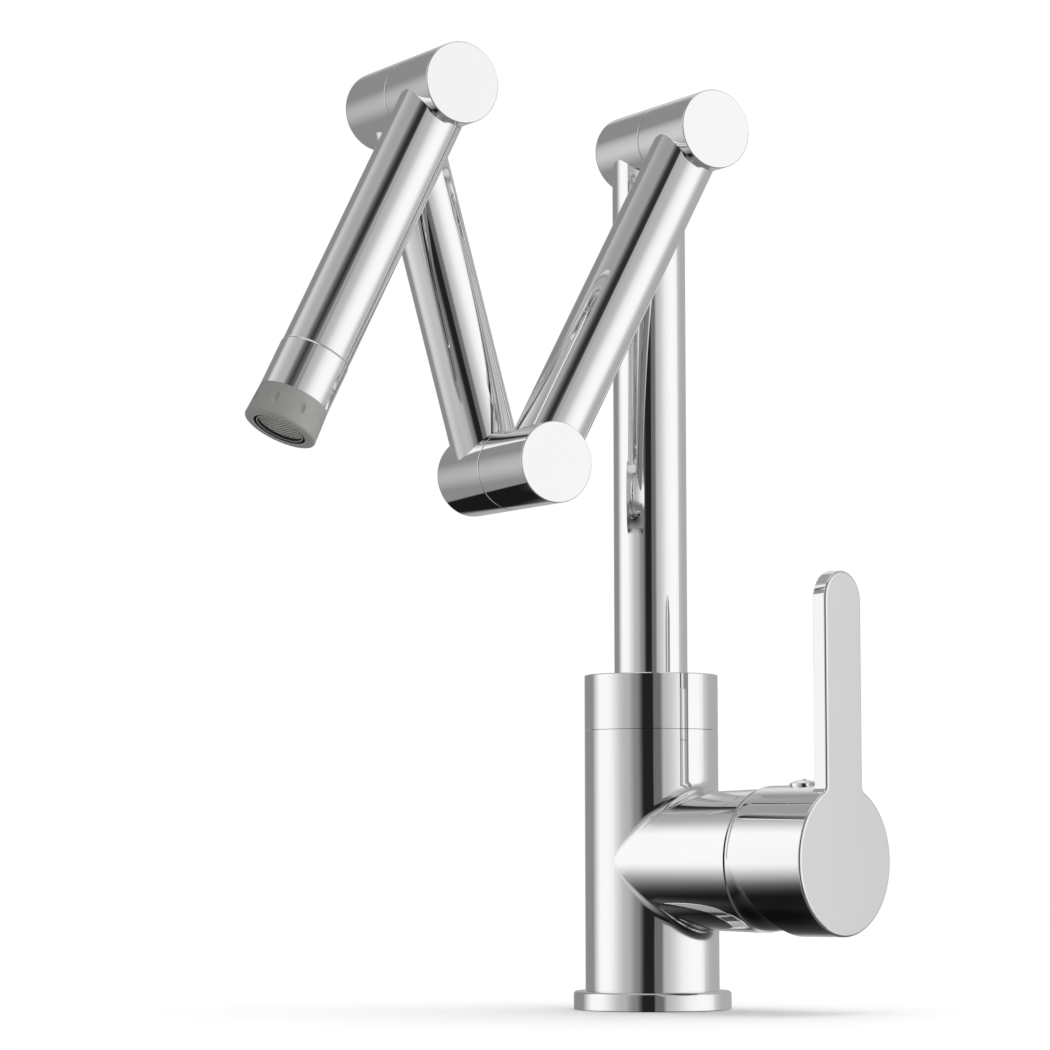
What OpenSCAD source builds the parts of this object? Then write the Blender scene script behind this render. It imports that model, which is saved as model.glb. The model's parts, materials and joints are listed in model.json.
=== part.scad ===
// Deck-mount pot filler: a side-lever mixer under a swivelling spout of three folding arms.
// Millimetres, +Z up. The origin is on the deck, under the middle of the base flange.
// The valve and its lever lie along +X. The spout is drawn folded, as it is parked.

/* [Base] */
// Diameter of the base flange
flange_d = 60; // [54:0.5:70]
// Height of the base flange
flange_h = 7; // [5:0.5:10]
// Rounding of the flange's top edge
flange_round = 1.2; // [0.4:0.1:2]
// Diameter of the body's boss inside the flange
boss_d = 42; // [38:0.5:44]
// Distance of the boss's underside above the deck
boss_lift = 1; // [0.5:0.1:2]
// Width of the gasket under the flange
gasket_w = 3.6; // [2:0.1:4]
// Depth of the gasket's groove
gasket_h = 2; // [1:0.1:3]

/* [Valve body] */
// Diameter of the upright body
body_d = 51; // [48:0.5:56]
// Height of the body's top above the deck
body_top = 105.6; // [100:0.5:115]
// Height of the valve's axis above the deck
valve_z = 56; // [48:0.5:60]
// Diameter of the side branch where it leaves the body
branch_root_d = 50.6; // [46:0.2:50.8]
// Diameter of the side branch at its mouth
branch_end_d = 53.4; // [50:0.2:56]
// Distance of the branch's mouth behind the lever's pivot
mouth_back = 1.5; // [0.5:0.1:3]
// Radius of the fillet between body and branch
branch_fillet = 5; // [3:0.5:7]
// Bore of the two hose inlets, M10 x 1
inlet_d = 9; // [8:0.1:10]
// Depth of the inlets' thread
inlet_depth = 12; // [8:0.5:16]
// Distance between the inlets
inlet_pitch = 18; // [16:0.5:20]
// Bore of the two stud holes, M6
stud_d = 5; // [4:0.1:6]
// Depth of the stud holes
stud_depth = 10; // [6:0.5:14]
// Distance between the stud holes
stud_pitch = 28; // [24:0.5:30]
// Diameter of the drilled water ways
waterway_d = 7; // [5:0.5:8]

/* [Cartridge] */
// Diameter of the cartridge
cartridge_d = 35; // [33:0.5:36]
// Length of the cartridge's housing without its neck
cartridge_len = 27; // [25:0.5:30]
// Diameter of the cartridge's neck
neck_d = 25; // [22:0.5:26]
// Length of the cartridge's neck
neck_len = 8.5; // [6:0.5:9]
// Reach of the lever's pivot from the body's axis
pivot_reach = 57; // [56:0.5:60]
// Width across the square stem
stem_w = 8; // [6:0.5:9]
// Diameter of the stem's pivot pin
stem_pin_d = 3; // [2:0.1:4]
// Depth of the stem's tip below the pivot
stem_arm = 14.5; // [12:0.5:16]
// Largest lift of the lever, in degrees
lift_max = 25; // [20:1:26]
// Thickness of each ceramic disc
disc_t = 4; // [3:0.5:5]
// Thread diameter of the retaining nut
nut_d = 39; // [38:0.2:40]
// Radius of the domed trim ring behind the lever
dome_r = 26.2; // [25:0.1:26.4]
// Wall of the domed trim ring
dome_wall = 2; // [1.2:0.1:2.4]
// Opening of the domed trim ring
dome_mouth_d = 34; // [32:0.5:36]

/* [Lever handle] */
// Diameter of the lever's hub
hub_grip_d = 55.6; // [54.5:0.1:60]
// Distance of the lever's front face ahead of the pivot
face_ahead = 34.7; // [31:0.1:43]
// Width of the lever blade
blade_w = 21.8; // [16:0.2:26]
// Thickness of the lever blade
blade_t = 5.9; // [4:0.1:8]
// Height of the blade's tip above the valve's axis
blade_top = 106.2; // [80:0.5:130]
// Fillet between blade and hub
blade_fillet = 3; // [1:0.5:6]
// Rounding of the lever's front edges
lever_round = 1; // [0.4:0.1:1.5]
// Angle of the relief under the lever's hub, in degrees
relief_angle = 27.3; // [26.5:0.1:30]
// Place of the index button along the lever's hub, as a share of the hub's length
button_share = 0.463; // [0.4:0.001:0.5]
// Diameter of the index button
button_d = 11; // [8:0.5:13]

/* [Swivel] */
// Height of the swivel collar
collar_h = 21.1; // [18:0.1:26]
// Diameter of the spigot that turns in the body
spigot_d = 26; // [24:0.5:28]
// Length of the spigot in the body
spigot_len = 20; // [18:0.5:21]
// Bore of the spigot
spigot_bore = 16; // [12:0.5:18]
// Diameter of the riser tube
riser_d = 28; // [25:0.5:30]
// Wall of the riser tube
riser_wall = 1.5; // [1:0.1:2]
// Height of the first hub's axis above the deck
riser_top = 331.3; // [300:1:360]

/* [Arm hubs] */
// Diameter of the hubs
hub_d = 30; // [29:0.5:34]
// Length of each half of a hub
hub_half = 31.4; // [30:0.1:36]
// Thickness of the end caps
cap_t = 2; // [1.5:0.1:2.2]
// Rounding of the back caps' edge
cap_round = 1.5; // [0.5:0.1:1.8]
// Diameter of the water chamber in each half
chamber_d = 22; // [20:0.5:23]
// Thickness of the web that carries the pivot
web_t = 8; // [7.5:0.1:8.5]
// Diameter of the hollow pivot
pivot_d = 16; // [15:0.1:17]
// Bore of the hollow pivot
pivot_bore = 10; // [8:0.2:10.6]
// Diameter of the port from hub to tube
port_d = 15; // [12:0.5:15]
// Diameter of the friction washer
washer_d = 24.6; // [22:0.2:26]

/* [Arms] */
// Diameter of the arm tubes
tube_d = 25.4; // [22:0.1:26]
// Wall of the arm tubes
tube_wall = 1.5; // [1:0.1:2]
// Length of the first arm between hub axes
arm_1_len = 148.4; // [130:0.5:180]
// Angle of the first arm from hanging straight down, in degrees
arm_1_angle = 28.5; // [14:0.5:60]
// Length of the second arm between hub axes
arm_2_len = 141.7; // [130:0.5:146]
// Angle of the second arm from standing straight up, in degrees
arm_2_angle = 16.2; // [8:0.5:50]
// Length of the spout tube from its hub's axis to the outlet collar
spout_len = 113.5; // [90:0.5:117]
// Angle of the spout tube from hanging straight down, in degrees
spout_angle = 27; // [10:0.5:50]
// Turn of the whole spout away from straight ahead, in degrees
spout_yaw = -17.6; // [-90:0.2:90]

/* [Outlet] */
// Diameter of the outlet collar
outlet_d = 26; // [25.6:0.1:28]
// Length of the outlet collar
outlet_len = 18.9; // [16:0.1:24]
// Diameter of the aerator's thread, M24 x 1
aerator_thread_d = 23.8; // [23.4:0.1:24]
// Length of the aerator's grey ring
aerator_len = 12.4; // [10:0.1:14]
// Diameter of the ring where it meets the collar
aerator_top_d = 26; // [25:0.1:26]
// Diameter of the ring at its lip
aerator_lip_d = 27.2; // [25:0.1:28]
// Number of grip notches round the ring
notch_count = 8; // [4:1:12]
// Diameter of the holes in the spray screen
screen_hole_d = 0.9; // [0.7:0.1:1.1]
// Distance between the holes in the spray screen
screen_pitch = 1.4; // [1.3:0.05:2]

/* [Clearances] */
// Radial clearance of a running fit
run_fit = 0.05; // [0.02:0.01:0.1]
// Gap between faces that turn past each other
turn_gap = 0.3; // [0.2:0.05:0.5]
// Visible seam between shells that turn past each other
seam_gap = 0.15; // [0.1:0.05:0.3]
// Gap in a brazed, pressed or threaded seat
seat_gap = 0.03; // [0.01:0.01:0.05]
// Clearance under seals and washers
seal_gap = 0.1; // [0.05:0.01:0.15]
// Edge break on turned parts
edge_break = 0.3; // [0.1:0.05:0.5]

/* [Hidden] */
$fn = 72;

// Overrun of every cut past the face that it opens
over = 1;

// Edge breaks beside a fine seam, and round the hubs' fine edges
seam_edge = 0.1;
hub_round = 0.4;

// Colours of the finishes
chrome = "silver";
brass = "goldenrod";
steel = "slategray";
seal_black = [0.1, 0.1, 0.1];
white_plastic = "whitesmoke";
blue_plastic = "steelblue";
ceramic = "lightgray";
grey_plastic = [0.58, 0.58, 0.56];

// Base and body
body_r = body_d / 2;
flange_hole_d = boss_d + 2 * seal_gap;
gasket_mid_r = (flange_hole_d + flange_d) / 4;
fillet_stations = 48;
fillet_steps = 6;
fillet_sink = 0.05;
fillet_root = 3;

// Swivel
spigot_step = 6;
spigot_neck_d = 24;
spigot_floor = body_top - spigot_len - turn_gap;
collar_z = body_top + seam_gap;
collar_wall = 2.5;
collar_roof = 5;
riser_foot = collar_z + spigot_step;
glide_h = 3.5;
glide_w = 3.6;
spout_screw_r = 2.5;
spout_screw_tip_r = 1.3;
spout_screw_drop = 6.5;
spout_screw_z = body_top - spout_screw_drop;
stop_groove_depth = 1.6;
stop_groove_w = 2 * (spout_screw_tip_r + turn_gap);
spigot_ring_r = 0.9;
spigot_ring_drops = [13, 17];

// Hub places in the arms' own plane: the first number runs away from the riser, the second up
seam_x = hub_half / 2;
hub_a = [0, riser_top];
hub_b = hub_a + arm_1_len * [-sin(arm_1_angle), -cos(arm_1_angle)];
hub_c = hub_b + arm_2_len * [-sin(arm_2_angle), cos(arm_2_angle)];
spout_end = hub_c + spout_len * [-sin(spout_angle), -cos(spout_angle)];

// Hub inner parts
washer_seat = 0.7;
washer_t = 1.5;
plug_len = 2.5;
clip_t = 1;
clip_w = 1.6;
clip_lip = 1.2;
pivot_tail = web_t + turn_gap + clip_t + clip_lip;
pivot_head_t = 1.5;
pivot_ring_r = 0.77;
pivot_ring_places = [2.6, 5.4];

// Reaches from the body's axis
branch_reach = pivot_reach - mouth_back;
face_reach = pivot_reach + face_ahead;

// Cartridge stations along the valve's axis
pivot_drop = 31;
cartridge_x = pivot_reach - pivot_drop;
cartridge_shoulder = cartridge_x + cartridge_len;
neck_end = cartridge_shoulder + neck_len;
cartridge_seal_t = 1.9;
cartridge_seal_w = 1.6;
housing_wall = 3;
housing_floor = 4;
cavity_d = cartridge_d - 2 * housing_wall;
cavity_x = cartridge_x + housing_floor;
cavity_end = cartridge_shoulder - housing_wall;
moving_disc_x = cavity_x + disc_t + run_fit;
carrier_x = moving_disc_x + disc_t + run_fit;
carrier_t = 6;
rotor_x = carrier_x + carrier_t + turn_gap;
rotor_flange_end = cavity_end - seal_gap;
rotor_end = neck_end - turn_gap;
rotor_d = neck_d - 2 * housing_wall;
slot_rise = 9.8;
slot_room = 1;
slot_drop = 7.2;
stem_back = 5;
tip_r = 2.9;
tip_rod_r = 2.6;
socket_r = tip_r + turn_gap;
lift_travel = stem_arm * sin(lift_max);
disc_d = cavity_d - lift_travel - 4 * turn_gap;
port_y = inlet_pitch / 2;
port_drop = 3.5;
port_rise = 7;
port_r = 2.6;

// Nut, neck and trim dome
nut_len = 5;
nut_x = cartridge_shoulder + seat_gap;
nut_slots = 4;
nut_slot_w = 2;
stub_d = 46;
stub_len = 4.5;
dome_x = branch_reach + seal_gap;
dome_len = 12.9;
dome_front = dome_x + dome_len;

// Lever
grip_gap = 1.4;
grip_back = branch_reach + grip_gap;
grip_r = hub_grip_d / 2;
button_reach = grip_back + (face_reach - grip_back) * button_share;
grip_round = 2;
grip_gap_inside = 0.42;
grip_cavity_r = dome_r + grip_gap_inside;
grip_floor_depth = 21;
grip_floor = pivot_reach + grip_floor_depth;
corner_sink = 0.05;
corner_r = blade_fillet + corner_sink;
relief_rise = 2.7;
relief_len = 2 * hub_grip_d;
socket_boss_r = 9;
socket_depth = 10;
socket_x = grip_floor - socket_depth;
stem_end_gap = 1;
stem_end = grip_floor - stem_end_gap;
lever_screw_r = 2;
lever_screw_len = 5;
button_shank_r = 3.4;
button_shank_len = 3;
button_rise = 1.9;
button_rim = 0.6;
button_dot_r = 0.8;
button_dot_rise = 0.4;

// Outlet, along the spout from its hub's axis
thread_r = aerator_thread_d / 2;
collar_bevel = 0.8;
collar_spigot_len = 6;
collar_bore_r = 9.4;
thread_len = 10.5;
outlet_end = spout_len + outlet_len;
lip_end = outlet_end + aerator_len;
lip_round = 0.8;
aerator_wall = 2.2;
mouth_flare = 0.3;
mouth_depth = 1;
washer_foot = outlet_end - thread_len + washer_t;
flute_r = 1.5;
flute_depth = 0.45;
flute_wheel_r = 4.2;
flute_place = 5.6;
flute_turn = 4;
insert_r = thread_r - aerator_wall;
insert_recess = 0.3;
insert_end = lip_end - insert_recess;
insert_wall = 1.4;
insert_len = 9;
insert_rib = 0.8;
insert_ribs = 4;
insert_groove = 0.6;
insert_groove_depth = 1.6;
screen_t = 0.8;
screen_ledge = 0.4;
screen_recess = 1.1;
screen_rim = 0.6;
screen_seat_r = insert_r - seat_gap - insert_wall + screen_ledge;
dimple_count = 34;
dimple_r = 0.28;
dimple_depth = 0.3;
dimple_ring_r = (insert_r + mouth_flare + aerator_lip_d / 2 - lip_round) / 2;

function branch_r(x) = (branch_root_d + (branch_end_d - branch_root_d) * x / branch_reach) / 2;

// The chrome finish
module in_chrome() color(chrome) children();

// Local +Z along the valve's axis, with the local origin on the body's axis
module along_valve() translate([0, 0, valve_z]) rotate([0, 90, 0]) children();

// Frame that turns with the spout
module with_spout() rotate([0, 0, spout_yaw]) children();

// Local +Z from a hub's seam outwards: to the front, or to the back
module hub_frame(hub, front) {
    with_spout()
        translate([seam_x, hub.x, hub.y])
            rotate([0, front ? 90 : -90, 0])
                children();
}

// Local +Z from one point of the arms' plane towards another, at a depth x
module aim(from, to, x) {
    with_spout()
        translate([x, from.x, from.y])
            rotate([atan2(from.x - to.x, to.y - from.y), 0, 0])
                children();
}

// Section of a round bar from a to b with rounded corners, for revolving
module bar_section(r, a, b, round_a, round_b) {
    difference() {
        translate([0, a]) square([r, b - a]);
        translate([r - round_a, a - over]) square([round_a + over, round_a + over]);
        translate([r - round_b, b - round_b]) square([round_b + over, round_b + over]);
    }
    intersection() {
        translate([r - round_a, a]) square([round_a, round_a]);
        translate([r - round_a, a + round_a]) circle(r = round_a);
    }
    intersection() {
        translate([r - round_b, b - round_b]) square([round_b, round_b]);
        translate([r - round_b, b - round_b]) circle(r = round_b);
    }
}

// Half section of a bar from a to b, with only its corner at b rounded
module round_end_section(r, a, b, round) {
    difference() {
        translate([0, a]) square([r, b - a]);
        translate([r - round, b - round]) square([round + over, round + over]);
    }
    intersection() {
        translate([r - round, b - round]) square([round, round]);
        translate([r - round, b - round]) circle(r = round);
    }
}

// Turned ring from a to b along Z
module ring(outer, inner, a, b) {
    translate([0, 0, a])
        difference() {
            cylinder(r = outer, h = b - a);
            translate([0, 0, -over]) cylinder(r = inner, h = b - a + 2 * over);
        }
}

// Ring with broken outer edges, one at a and one at b
module broken_ring(outer, inner, a, b, edge_a, edge_b) {
    rotate_extrude()
        polygon([
            [inner, a], [outer - edge_a, a], [outer, a + edge_a],
            [outer, b - edge_b], [outer - edge_b, b], [inner, b]
        ]);
}

// Rubber ring of round section
module o_ring(mid, section, z) translate([0, 0, z]) rotate_extrude() translate([mid, 0]) circle(r = section);

// Base

module base_flange() {
    in_chrome()
        difference() {
            rotate_extrude()
                bar_section(flange_d / 2, 0, flange_h, edge_break, flange_round);
            translate([0, 0, -over]) cylinder(d = flange_hole_d, h = flange_h + 2 * over);
            translate([0, 0, -over])
                ring(gasket_mid_r + gasket_w / 2, gasket_mid_r - gasket_w / 2, 0, gasket_h + over);
        }
}

module base_gasket() {
    color(seal_black)
        ring(
            gasket_mid_r + gasket_w / 2 - seal_gap, gasket_mid_r - gasket_w / 2 + seal_gap,
            run_fit, gasket_h
        );
}

// Place of the ball that rolls along the corner of body and branch, at an angle round the branch
function ball_x(turn, x, steps) =
    steps == 0 ? x
    : ball_x(
        turn,
        sqrt(max(0, (body_r + branch_fillet) ^ 2 - ((branch_r(x) + branch_fillet) * sin(turn)) ^ 2)),
        steps - 1
    );
function unit_of(v) = v / norm(v);

// One closed outline of the fillet: its arc, then one point deep in the metal
function fillet_outline(turn) =
    let (
        x = ball_x(turn, body_r, 12),
        far = branch_r(x) + branch_fillet,
        ball = [x, far * sin(turn), far * cos(turn)],
        to_body = unit_of([-ball.x, -ball.y, 0]),
        to_branch = unit_of([0, -ball.y, -ball.z]),
        middle = unit_of(to_body + to_branch),
        deep = branch_fillet / (middle * to_body) + fillet_root
    )
    concat(
        [
            for (i = [0 : fillet_steps])
                ball + (branch_fillet + fillet_sink)
                    * unit_of(to_body * (1 - i / fillet_steps) + to_branch * (i / fillet_steps))
        ],
        [ball + middle * deep]
    );

module branch_fillet_ring() {
    size = fillet_steps + 2;
    outlines = [for (k = [0 : fillet_stations - 1]) fillet_outline((k + 0.5) * 360 / fillet_stations)];
    points = [for (outline = outlines) each outline];
    faces = [
        for (k = [0 : fillet_stations - 1], i = [0 : size - 1])
            let (
                a = k * size + i,
                b = k * size + (i + 1) % size,
                c = ((k + 1) % fillet_stations) * size + (i + 1) % size,
                d = ((k + 1) % fillet_stations) * size + i
            )
            each [[a, b, c], [a, c, d]]
    ];
    translate([0, 0, valve_z]) polyhedron(points, faces, convexity = 4);
}

module inlet_holes() {
    for (side = [-1, 1])
        translate([0, side * inlet_pitch / 2, 0]) {
            translate([0, 0, boss_lift - over]) cylinder(d = inlet_d, h = inlet_depth + over);
            translate([0, 0, boss_lift])
                cylinder(d = waterway_d, h = valve_z - port_drop + waterway_d / 2 - boss_lift);
            translate([0, 0, valve_z - port_drop])
                rotate([0, 90, 0]) cylinder(d = waterway_d, h = cartridge_x);
        }
}

module stud_holes() {
    for (side = [-1, 1])
        translate([side * stud_pitch / 2, 0, boss_lift - over])
            cylinder(d = stud_d, h = stud_depth + over);
}

module outlet_way() {
    translate([0, 0, valve_z + port_rise]) {
        rotate([0, 90, 0]) cylinder(d = waterway_d, h = cartridge_x);
        cylinder(d = waterway_d, h = spigot_floor - valve_z);
        sphere(d = waterway_d);
    }
}

module cartridge_chamber() {
    along_valve() {
        translate([0, 0, cartridge_x - cartridge_seal_t - seal_gap])
            cylinder(d = cartridge_d + 2 * seal_gap, h = branch_reach);
        translate([0, 0, cartridge_shoulder - nut_len])
            cylinder(d = nut_d + 2 * seat_gap, h = branch_reach);
    }
}

module valve_body() {
    in_chrome()
        difference() {
            union() {
                translate([0, 0, boss_lift]) cylinder(d = boss_d, h = flange_h);
                translate([0, 0, flange_h]) broken_ring(body_r, 0, 0, body_top - flange_h, edge_break, seam_edge);
                along_valve() {
                    cylinder(d1 = branch_root_d, d2 = branch_end_d, h = branch_reach);
                    cylinder(d = stub_d, h = branch_reach + stub_len);
                }
                branch_fillet_ring();
            }
            inlet_holes();
            stud_holes();
            outlet_way();
            cartridge_chamber();
            translate([0, 0, spigot_floor]) cylinder(r = spigot_d / 2 + run_fit, h = spigot_len + 2 * over);
            translate([0, 0, body_top - glide_h])
                cylinder(r = spigot_d / 2 + glide_w + seal_gap, h = glide_h + over);
            translate([0, spigot_d / 2 - over, spout_screw_z])
                rotate([-90, 0, 0]) cylinder(r = spout_screw_r + seat_gap, h = body_r);
        }
}

// Swivel seat in the body

module glide_ring() {
    color(white_plastic)
        ring(
            spigot_d / 2 + glide_w, spigot_d / 2 + turn_gap,
            body_top - glide_h, body_top + seam_gap / 2
        );
}

// Screw whose tip holds the spigot down by its groove
module spout_grub_screw() {
    color(steel)
        translate([0, spigot_d / 2 - stop_groove_depth + turn_gap, spout_screw_z])
            rotate([-90, 0, 0])
                difference() {
                    union() {
                        cylinder(r = spout_screw_tip_r, h = stop_groove_depth + spout_screw_r);
                        translate([0, 0, stop_groove_depth]) cylinder(r = spout_screw_r, h = 2 * spout_screw_r);
                    }
                    translate([0, 0, stop_groove_depth + spout_screw_r])
                        cylinder(r = spout_screw_r / 2, h = 2 * spout_screw_r, $fn = 6);
                }
}

// Cartridge

module port_holes(from, length) {
    for (side = [-1, 1])
        translate([port_drop, side * port_y, from]) cylinder(r = port_r, h = length);
    translate([-port_rise, 0, from]) cylinder(r = port_r, h = length);
}

module cartridge_seal() {
    color(seal_black)
        along_valve()
            difference() {
                translate([0, 0, cartridge_x - cartridge_seal_t - seal_gap / 2])
                    cylinder(d = cartridge_d - 2 * cartridge_seal_w, h = cartridge_seal_t);
                port_holes(cartridge_x - cartridge_seal_t - over, cartridge_seal_t + 2 * over);
            }
}

module cartridge_housing() {
    color(white_plastic)
        along_valve()
            difference() {
                union() {
                    translate([0, 0, cartridge_x]) cylinder(d = cartridge_d, h = cartridge_len);
                    translate([0, 0, cartridge_x]) cylinder(d = neck_d, h = cartridge_len + neck_len);
                }
                port_holes(cartridge_x - over, housing_floor + 2 * over);
                translate([0, 0, cavity_x])
                    cylinder(d = cavity_d, h = cavity_end - cavity_x);
                translate([0, 0, cavity_x]) cylinder(d = rotor_d + 2 * run_fit, h = branch_reach);
            }
}

module fixed_disc() {
    color(ceramic)
        along_valve()
            difference() {
                translate([0, 0, cavity_x]) cylinder(d = cavity_d - 2 * seal_gap, h = disc_t);
                port_holes(cavity_x - over, disc_t + 2 * over);
            }
}

module moving_disc() {
    color(ceramic)
        along_valve()
            translate([lift_travel / 2, 0, moving_disc_x])
                difference() {
                    cylinder(d = disc_d, h = disc_t);
                    translate([0, 0, -over]) cylinder(d = disc_d / 2, h = disc_t / 2 + over);
                }
}

module disc_carrier() {
    color(blue_plastic)
        along_valve()
            difference() {
                translate([lift_travel / 2, 0, carrier_x]) cylinder(d = disc_d, h = carrier_t);
                translate([0, 0, pivot_reach - stem_arm])
                    rotate([90, 0, 0])
                        translate([0, 0, -socket_r]) cylinder(r = socket_r, h = 2 * socket_r);
                translate([-socket_r, -socket_r, pivot_reach - stem_arm])
                    cube([2 * socket_r, 2 * socket_r, carrier_t]);
            }
}

// Slot in which the stem tips as the lever lifts
module stem_slot() {
    slot_w = stem_w + 2 * run_fit;
    translate([0, slot_w / 2, valve_z])
        rotate([90, 0, 0])
            linear_extrude(slot_w)
                polygon([
                    [rotor_x - over, -stem_w / 2 - turn_gap],
                    [rotor_x - over, slot_rise],
                    [pivot_reach, stem_w / 2 + slot_room],
                    [rotor_end + over, stem_w / 2 + slot_room],
                    [rotor_end + over, -slot_drop],
                    [pivot_reach, -stem_w / 2 - slot_room]
                ]);
}

module cartridge_rotor() {
    color(blue_plastic)
        difference() {
            along_valve() {
                translate([0, 0, rotor_x])
                    cylinder(d = cavity_d - 2 * seal_gap, h = rotor_flange_end - rotor_x);
                translate([0, 0, rotor_x]) cylinder(d = rotor_d, h = rotor_end - rotor_x);
            }
            stem_slot();
            translate([pivot_reach, rotor_d, valve_z])
                rotate([90, 0, 0]) cylinder(r = stem_pin_d / 2 + seat_gap, h = 2 * rotor_d);
        }
}

module stem_pin() {
    color(steel)
        translate([pivot_reach, rotor_d / 2 - slot_room, valve_z])
            rotate([90, 0, 0]) cylinder(d = stem_pin_d, h = rotor_d - 2 * slot_room);
}

module cartridge_stem() {
    square_x = pivot_reach - stem_back;
    color(steel)
        difference() {
            translate([0, 0, valve_z]) {
                translate([square_x, -stem_w / 2, -stem_w / 2])
                    cube([stem_end - square_x, stem_w, stem_w]);
                translate([pivot_reach - stem_arm, 0, 0]) {
                    rotate([0, 90, 0]) cylinder(r = tip_rod_r, h = stem_arm);
                    sphere(r = tip_r);
                }
            }
            translate([pivot_reach, stem_w, valve_z])
                rotate([90, 0, 0]) cylinder(r = stem_pin_d / 2 + run_fit, h = 2 * stem_w);
        }
}

module cartridge_nut() {
    color(brass)
        along_valve()
            difference() {
                ring(nut_d / 2, neck_d / 2 + seal_gap, nut_x, nut_x + nut_len);
                for (k = [0 : nut_slots - 1])
                    rotate([0, 0, k * 360 / nut_slots])
                        translate([neck_d / 2 + nut_slot_w, -nut_slot_w / 2, nut_x + nut_len - nut_slot_w])
                            cube([nut_d, nut_slot_w, nut_slot_w + over]);
            }
}

// Part of a ball round the lever's pivot, from the branch's mouth to a face
module pivot_ball(r, face) {
    intersection() {
        translate([0, 0, pivot_reach]) sphere(r = r);
        translate([0, 0, dome_x]) cylinder(r = dome_r + over, h = face - dome_x);
    }
}

module trim_dome() {
    in_chrome()
        along_valve()
            difference() {
                pivot_ball(dome_r, dome_front);
                translate([0, 0, dome_x - over])
                    cylinder(r = stub_d / 2 + seat_gap, h = stub_len + over + seal_gap);
                intersection() {
                    pivot_ball(dome_r - dome_wall, dome_front - dome_wall);
                    cylinder(d = stub_d, h = dome_front);
                }
                cylinder(d = dome_mouth_d, h = dome_front + over);
            }
}

// Lever handle

// Half section of the blade, which its round tip revolves
module blade_half_section() bar_section(blade_w / 2, 0, blade_t, edge_break, lever_round);

// Space in the corner of blade and hub, rounded along the front edge like the rest
module corner_space() {
    rotate_extrude()
        difference() {
            union() {
                translate([0, -over]) square([corner_r, blade_t + 2 * over]);
                translate([0, blade_t - lever_round]) square([corner_r + lever_round, lever_round + over]);
            }
            translate([corner_r + lever_round, blade_t - lever_round]) circle(r = lever_round);
        }
}

module blade_corner() {
    corner = [
        blade_w / 2 + blade_fillet,
        sqrt((grip_r + blade_fillet) ^ 2 - (blade_w / 2 + blade_fillet) ^ 2)
    ];
    foot = corner * (grip_r - lever_round) / (grip_r + blade_fillet);
    difference() {
        linear_extrude(blade_t) polygon([[0, 0], foot, corner, [0, corner.y]]);
        translate(corner) corner_space();
    }
}

module blade() {
    tip = blade_top - blade_w / 2;
    translate([face_reach - blade_t, 0, valve_z])
        rotate([90, 0, 90]) {
            translate([0, tip, 0]) rotate_extrude() blade_half_section();
            translate([0, tip, 0])
                rotate([90, 0, 0])
                    linear_extrude(tip) {
                        blade_half_section();
                        mirror([1, 0]) blade_half_section();
                    }
            blade_corner();
            mirror([1, 0, 0]) blade_corner();
        }
}

module grip_cavity() {
    along_valve() {
        intersection() {
            translate([0, 0, pivot_reach]) sphere(r = grip_cavity_r);
            cylinder(r = grip_cavity_r + over, h = grip_floor);
        }
        cylinder(r = grip_cavity_r, h = pivot_reach);
    }
}

// Slanted cut that lets the lever's hub tip back over the branch
module grip_relief() {
    translate([0, relief_len / 2, valve_z])
        rotate([90, 0, 0])
            linear_extrude(relief_len)
                polygon([
                    [grip_back - over, relief_rise],
                    [grip_back, relief_rise],
                    [grip_back + relief_len * tan(relief_angle), relief_rise - relief_len],
                    [grip_back - over, relief_rise - relief_len]
                ]);
}

module lever_handle() {
    in_chrome()
        difference() {
            union() {
                difference() {
                    union() {
                        along_valve()
                            rotate_extrude()
                                bar_section(grip_r, grip_back, face_reach, grip_round, lever_round);
                        blade();
                    }
                    grip_cavity();
                    grip_relief();
                }
                along_valve()
                    translate([0, 0, socket_x]) cylinder(r = socket_boss_r, h = socket_depth + over);
            }
            translate([socket_x - over, -stem_w / 2 - seat_gap, valve_z - stem_w / 2 - seat_gap])
                cube([stem_end - socket_x + over + seal_gap, stem_w + 2 * seat_gap, stem_w + 2 * seat_gap]);
            translate([button_reach, 0, valve_z]) {
                cylinder(r = lever_screw_r + seat_gap, h = grip_r + over);
                translate([0, 0, grip_r / 2]) cylinder(r = button_shank_r + seat_gap, h = grip_r);
            }
        }
}

module handle_grub_screw() {
    color(steel)
        translate([button_reach, 0, valve_z + stem_w / 2 + seat_gap])
            difference() {
                cylinder(r = lever_screw_r, h = lever_screw_len);
                translate([0, 0, lever_screw_len / 2])
                    cylinder(r = lever_screw_r / 2, h = lever_screw_len, $fn = 6);
            }
}

module index_button() {
    dome_rise = button_rise - button_rim;
    round_r = (button_d ^ 2 / 4 + dome_rise ^ 2) / (2 * dome_rise);
    in_chrome()
        translate([button_reach, 0, valve_z])
            difference() {
                union() {
                    translate([0, 0, grip_r - button_shank_len])
                        cylinder(r = button_shank_r, h = button_shank_len);
                    intersection() {
                        translate([0, 0, grip_r / 2]) cylinder(d = button_d, h = grip_r);
                        translate([0, 0, grip_r + button_rise - round_r]) sphere(r = round_r);
                    }
                    translate([0, 0, grip_r])
                        cylinder(r = button_dot_r, h = button_rise + button_dot_rise);
                }
                difference() {
                    rotate([0, 90, 0]) cylinder(r = grip_r + seat_gap, h = 2 * button_d, center = true);
                    cylinder(r = button_shank_r, h = grip_r + over);
                }
            }
}

// Spout base

module swivel_collar() {
    in_chrome()
        difference() {
            translate([0, 0, collar_z])
                broken_ring(body_r, spigot_neck_d / 2, 0, collar_h, seam_edge, edge_break);
            translate([0, 0, riser_foot]) cylinder(r = riser_d / 2 + seat_gap, h = collar_h);
            ring(
                body_r - collar_wall, riser_d / 2 + collar_wall,
                collar_z - over, collar_z + collar_h - collar_roof
            );
        }
}

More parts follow.
